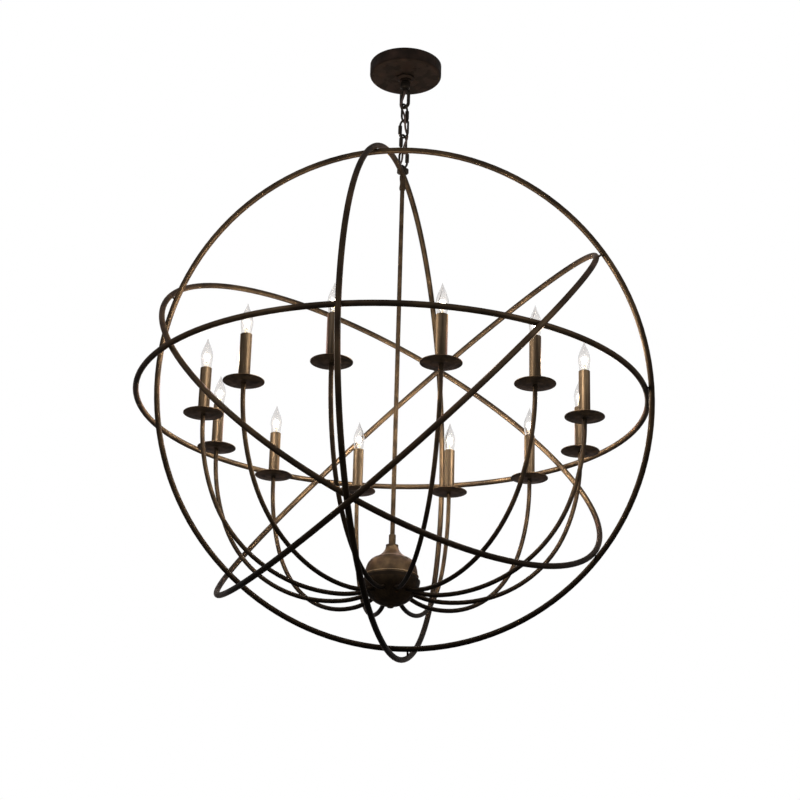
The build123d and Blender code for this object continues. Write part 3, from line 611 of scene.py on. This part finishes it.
class CHANDELIER_OT_hanging(bpy.types.Operator):
    """Gives the canopy, chain and stem their dark finishes"""

    bl_idname = "chandelier.hanging"
    bl_label = "Finish the canopy, chain and stem"

    def execute(self, context):
        bronze = context.scene.chandelier.bronze
        canopy_mottle, chain_mottle, stem_mottle = (
            bronze.mottle * MOTTLE_SHARES[piece] for piece in ("canopy", "chain", "stem"))
        dress(bronze_finish("canopy_bronze_finish", bronze.chain, bronze.canopy, canopy_mottle,
                            metallic=0.7, roughness=0.5), "canopy", "canopy_collar")
        worn = scaled(bronze.chain, CHAIN_WORN_SHADE)
        dress(bronze_finish("chain_black_finish", bronze.chain, worn, chain_mottle,
                            metallic=0.6, roughness=0.36), "canopy_loop", *CHAIN_LINKS, "stem_loop")
        dress(bronze_finish("stem_bronze_finish", bronze.dark, bronze.rubbed, stem_mottle),
              "stem_neck", "stem_tube")
        return {"FINISHED"}


class CHANDELIER_OT_hub(bpy.types.Operator):
    """Gives the hub's collar, cap and bowl their bronze"""

    bl_idname = "chandelier.hub"
    bl_label = "Finish the hub"

    def execute(self, context):
        bronze = context.scene.chandelier.bronze
        mottle = bronze.mottle * MOTTLE_SHARES["hub"]
        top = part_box("hub_cap")[1].z
        shoulder, bead = top - CAP_SHOULDER_DOWN, top - CAP_BEAD_DOWN
        # The cap's two worn lines are rubbed bright with painted highlights, and painted shade darkens the
        # cap below its bead
        dress(bronze_finish("hub_bronze_finish", bronze.dark, bronze.rubbed, mottle,
                            worn_and_highlit_levels=(shoulder, bead), painted_shade_band=[bead - down for down in CAP_SHADOW]),
              "hub_collar", "hub_cap")
        # Painted shade: the bowl and its hardware take a darker copy of the same bronze
        bowl_shaded = scaled(bronze.dark, BOWL_PAINTED_SHADE), scaled(bronze.rubbed, BOWL_PAINTED_SHADE)
        dress(bronze_finish("bowl_painted_shade_finish", *bowl_shaded, mottle), "hub_bowl", "fixture_hardware")
        return {"FINISHED"}


class CHANDELIER_OT_candles(bpy.types.Operator):
    """Gives the arms, drip dishes and candle sleeves their finishes"""

    bl_idname = "chandelier.candles"
    bl_label = "Finish the arms and candles"

    def execute(self, context):
        bronze = context.scene.chandelier.bronze
        arm_mottle, dish_mottle = (bronze.mottle * MOTTLE_SHARES[piece] for piece in ("arm", "dish"))
        low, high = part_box("candle_arms")
        # Painted shade darkens the arms' lower half
        shaded_lower_half = (low.z, (low.z + high.z) / 2)
        dress(bronze_finish("arm_bronze_finish", bronze.dark, bronze.rubbed, arm_mottle, painted_shade_band=shaded_lower_half),
              "candle_arms")
        # Painted light: the dishes take a lighter copy of the bronze, for the bulbs' light falling under them
        dish_lit = scaled(bronze.dark, DISH_PAINTED_LIGHT), scaled(bronze.rubbed, DISH_PAINTED_LIGHT)
        dress(bronze_finish("dish_painted_light_finish", *dish_lit, dish_mottle, metallic=0.6), "bobeches")
        low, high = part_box("candle_sleeves")
        dress(sleeve_finish(bronze.sleeve_dark, bronze.sleeve_light, low.z, high.z), "candle_sleeves")
        return {"FINISHED"}


class CHANDELIER_OT_wiring(bpy.types.Operator):
    """Gives the hidden hardware, leads and sockets their finishes"""

    bl_idname = "chandelier.wiring"
    bl_label = "Finish the hardware and wiring"

    def execute(self, context):
        dress(steel_finish(), "mounting_crossbar", "fitting_hardware", "canopy_nipple", "hub_core")
        dress(plastic_finish("lead_insulation_finish", colour=(0.02, 0.02, 0.02, 1), grain=300),
              "stem_lead", "lamp_leads")
        dress(plastic_finish("socket_plastic_finish", colour=(0.03, 0.026, 0.022, 1), grain=700),
              "lamp_sockets", "hub_splice")
        return {"FINISHED"}


class CHANDELIER_OT_bulbs(bpy.types.Operator):
    """Gives the bulbs their glass and brass and winds a glowing filament in each"""

    bl_idname = "chandelier.bulbs"
    bl_label = "Light the bulbs"

    def execute(self, context):
        bulb = context.scene.chandelier.bulb
        low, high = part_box("bulb_glass_01")
        wires_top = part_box("bulb_base_01")[1].z
        dress(glass_finish(bulb.haze, bulb.haze_strength, low.z, high.z),
              *["bulb_glass_" + label for label in BULBS])
        dress(brass_finish(bulb.glow, bulb.filament_strength, wires_top - HOT_WIRE_LENGTH),
              *["bulb_base_" + label for label in BULBS])
        arch = coil_path(FILAMENT_WIDTH, FILAMENT_RISE, bulb.coil_turns, bulb.coil_radius)
        hot = filament_finish(bulb.glow, bulb.filament_strength, path_length(arch))
        for label in BULBS:
            low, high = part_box("bulb_glass_" + label)
            middle = (low + high) / 2
            path = arch + np.array((middle.x, middle.y, wires_top - FILAMENT_RISE))
            wire = tube(path, bulb.coil_wire, COIL_SIDES, COIL_SIDE_WAY)
            coil = new_piece("filament_" + label, wire, closed=True)
            coil.data.materials.append(hot)
            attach(coil, "bulb_" + label)
            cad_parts["bulb_glass_" + label].visible_shadow = False
            lamp = new_lamp("bulb_light_" + label, "POINT", bulb.lamp_power, (middle.x, middle.y, wires_top))
            lamp.data.color = bulb.haze[:3]
            lamp.data.shadow_soft_size = BULB_LAMP_RADIUS
            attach(lamp, "fixture")
        return {"FINISHED"}


class CHANDELIER_OT_cord(bpy.types.Operator):
    """Weaves the supply cord through the chain, one stretch for each hinge"""

    bl_idname = "chandelier.cord"
    bl_label = "Weave the supply cord"

    def execute(self, context):
        cord = context.scene.chandelier.cord
        jacket = cord_finish(cord.colour, cord.worn)
        for number, route in enumerate(CORD_ROUTES):
            label = str(number + 1)
            path = cord_line(context, route)
            rings = tube(path, cord.diameter / 2, CORD_SIDES, CORD_SIDE_WAY)
            piece = new_piece("cord_stretch_" + label, rings, closed=True)
            piece.data.materials.append(jacket)
            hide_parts("supply_cord_" + label)
            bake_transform(piece)
        return {"FINISHED"}


class CHANDELIER_OT_stage(bpy.types.Operator):
    """Makes the floor, the studio light and the camera"""

    bl_idname = "chandelier.stage"
    bl_label = "Set up the studio"

    def execute(self, context):
        stage = context.scene.chandelier.stage
        context.scene.view_settings.view_transform = "Standard"
        self.lay_floor(stage.floor_level)
        self.light_room(context.scene, stage.world_strength)
        for name, place, power in (("key_lamp", KEY_PLACE, stage.key_power),
                                   ("fill_lamp", FILL_PLACE, stage.fill_power)):
            lamp = new_lamp(name, "AREA", power, place)
            lamp.data.size = STUDIO_LAMP_SIZE
            aim = Vector(ORB_CENTRE) - Vector(place)
            lamp.rotation_euler = aim.to_track_quat("-Z", "Y").to_euler()
        self.place_camera(context.scene)
        return {"FINISHED"}

    def lay_floor(self, level):
        """A flat floor: a square grid of x and y at one height."""
        side = np.linspace(-FLOOR_REACH, FLOOR_REACH, FLOOR_LINES)
        along, across = np.meshgrid(side, side, indexing="ij")
        grid = np.stack([along, across, np.full_like(along, level)], -1)
        floor = new_piece("studio_floor", grid, closed=False)
        floor.data.materials.append(floor_finish())

    def light_room(self, scene, strength):
        """Even light from all sides, seen as plain white directly, in metal and through glass."""
        scene.world = bpy.data.worlds.new("studio_light")
        scene.world.use_nodes = True
        tree = scene.world.node_tree
        background = tree.nodes["Background"]
        seen = Flow(tree).node("ShaderNodeLightPath", {}, {}, out="Is Camera Ray")
        rays = seen.socket.node.outputs
        for name in ("Is Glossy Ray", "Is Transmission Ray"):
            seen = seen.math("MAXIMUM", seen, Flow(tree, rays[name]))
        background.inputs["Color"].default_value = (1, 1, 1, 1)
        (seen * (1 - strength) + strength).into(background, "Strength")

    def place_camera(self, scene):
        """A camera that looks up at the orb, rolled a little as the photograph is."""
        camera = bpy.data.objects.new("photo_camera", bpy.data.cameras.new("photo_camera"))
        camera.data.lens = CAMERA_LENS
        camera.data.sensor_width = CAMERA_SENSOR
        camera.data.clip_end = CAMERA_REACH
        ahead = Vector((0, math.cos(CAMERA_RISE), math.sin(CAMERA_RISE)))
        level, up = Vector((1, 0, 0)), Vector((0, -math.sin(CAMERA_RISE), math.cos(CAMERA_RISE)))
        right = math.cos(CAMERA_ROLL) * level + math.sin(CAMERA_ROLL) * up
        upright = math.cos(CAMERA_ROLL) * up - math.sin(CAMERA_ROLL) * level
        turn = Matrix((right, upright, -ahead)).transposed()
        camera.matrix_world = Matrix.Translation(CAMERA_PLACE) @ turn.to_4x4()
        scene.collection.objects.link(camera)
        scene.camera = camera


class CHANDELIER_PT_panel(bpy.types.Panel):
    """Lists the chandelier's steps and settings"""

    bl_idname = "CHANDELIER_PT_panel"
    bl_label = "Orb chandelier"
    bl_space_type = "VIEW_3D"
    bl_region_type = "UI"
    bl_category = "Chandelier"

    def draw(self, context):
        for operator in OPERATORS:
            self.layout.operator(operator.bl_idname)
        settings = context.scene.chandelier
        for group in (settings.bronze, settings.bulb, settings.cord, settings.stage):
            box = self.layout.box()
            for name in group.bl_rna.properties.keys():
                if name not in ("rna_type", "name"):
                    box.prop(group, name)


OPERATORS = (
    CHANDELIER_OT_stage, CHANDELIER_OT_cord, CHANDELIER_OT_hoops, CHANDELIER_OT_hanging, CHANDELIER_OT_hub,
    CHANDELIER_OT_candles, CHANDELIER_OT_wiring, CHANDELIER_OT_bulbs,
)
SETTINGS = (BronzeSettings, BulbSettings, CordSettings, StageSettings, ChandelierSettings)
CLASSES = SETTINGS + OPERATORS + (CHANDELIER_PT_panel,)


def register():
    for made in CLASSES:
        bpy.utils.register_class(made)
    bpy.types.Scene.chandelier = PointerProperty(type=ChandelierSettings)


def unregister():
    del bpy.types.Scene.chandelier
    for made in reversed(CLASSES):
        bpy.utils.unregister_class(made)


def main():
    register()
    bpy.ops.chandelier.stage()
    bpy.ops.chandelier.cord()
    bpy.ops.chandelier.hoops()
    bpy.ops.chandelier.hanging()
    bpy.ops.chandelier.hub()
    bpy.ops.chandelier.candles()
    bpy.ops.chandelier.wiring()
    bpy.ops.chandelier.bulbs()


if __name__ == "__main__":
    main()
